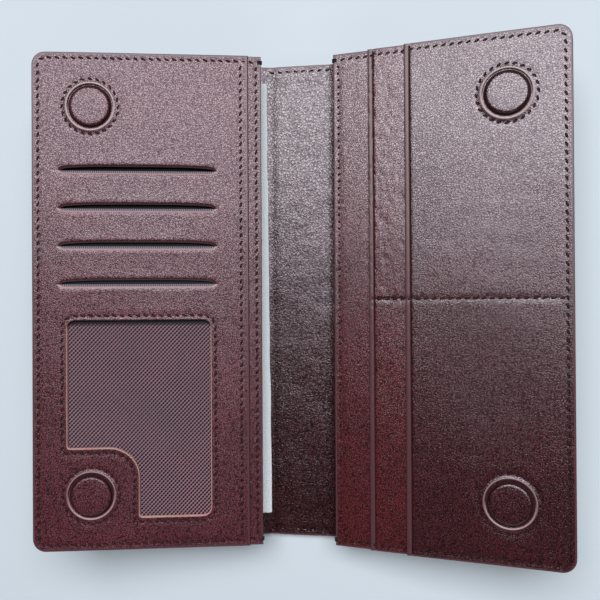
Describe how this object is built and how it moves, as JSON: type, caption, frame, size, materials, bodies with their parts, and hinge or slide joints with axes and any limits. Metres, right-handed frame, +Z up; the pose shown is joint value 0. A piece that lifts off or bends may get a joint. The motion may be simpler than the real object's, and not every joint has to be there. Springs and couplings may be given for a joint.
{
  "type": "long wallet",
  "caption": "Long leather wallet lying open: card slots and an ID window on one half, stacked pockets on the other, joined by a soft spine, with round magnetic snaps.",
  "frame": {"origin": "centre of the spine's outer face, on the surface the open wallet lies on", "axes": "+X from the spine to the pocket half, +Y along the wallet's long side towards the card slots' end, +Z up"},
  "size_m": [0.2007, 0.19, 0.0338],
  "materials": {
    "leather": "fine-grained burgundy brown leather, satin",
    "lining_leather": "coarse pebbled burgundy brown leather, satin",
    "twill_lining": "fine grey-blue woven twill",
    "window_mesh": "purple-brown woven mesh",
    "thread": "dark brown waxed thread",
    "stiffener_board": "thin pressed paper board",
    "snap_metal": "plain nickel-coated disc",
    "packing_sheet": "pale grainy non-woven packing sheet"
  },
  "bodies": {
    "spine": {"outer_cover_spine": "leather", "stiffener_spine": "stiffener_board", "lining_spine": "lining_leather", "seam_spine_top": "thread", "seam_spine_bottom": "thread"},
    "left_half": {"outer_cover_left": "leather", "stiffener_left": "stiffener_board", "lining_left": "lining_leather", "back_panel_left": "leather", "backing_lining_left": "twill_lining", "card_pocket_1": "twill_lining", "card_pocket_2": "twill_lining", "card_pocket_3": "twill_lining", "card_pocket_4": "twill_lining", "window_mesh": "window_mesh", "card_panel_left": "leather", "magnet_left_top": "snap_metal", "snap_cap_left_top": "leather", "seam_snap_left_top": "thread", "magnet_left_bottom": "snap_metal", "snap_cap_left_bottom": "leather", "seam_snap_left_bottom": "thread", "seam_perimeter_left": "thread", "seam_fold_edge_left": "thread", "seam_card_panel_edge": "thread", "seam_window": "thread"},
    "right_half": {"outer_cover_right": "leather", "stiffener_right": "stiffener_board", "lining_right": "lining_leather", "base_panel_right": "leather", "pocket_layer_1": "leather", "pocket_layer_2": "leather", "keeper_right_top": "snap_metal", "snap_cap_right_top": "leather", "seam_snap_right_top": "thread", "keeper_right_bottom": "snap_metal", "snap_cap_right_bottom": "leather", "seam_snap_right_bottom": "thread", "seam_perimeter_right": "thread", "seam_fold_edge_right": "thread", "seam_divider": "thread"},
    "packing_sheet": {"packing_sheet": "packing_sheet"}
  },
  "joints": [
    {"name": "left_fold", "type": "hinge", "parent": "spine", "child": "left_half", "pos_m": [-0.012, 0, 0.0025], "axis": [0, 1, 0], "range_deg": [-17.5, 77]},
    {"name": "right_fold", "type": "hinge", "parent": "spine", "child": "right_half", "pos_m": [0.012, 0, 0.0025], "axis": [0, -1, 0], "range_deg": [-14.8, 79.5]},
    {"name": "sheet_shift", "type": "slide", "parent": "left_half", "child": "packing_sheet", "axis": [0, 1, 0], "range_m": [-0.005, 0.004]}
  ]
}
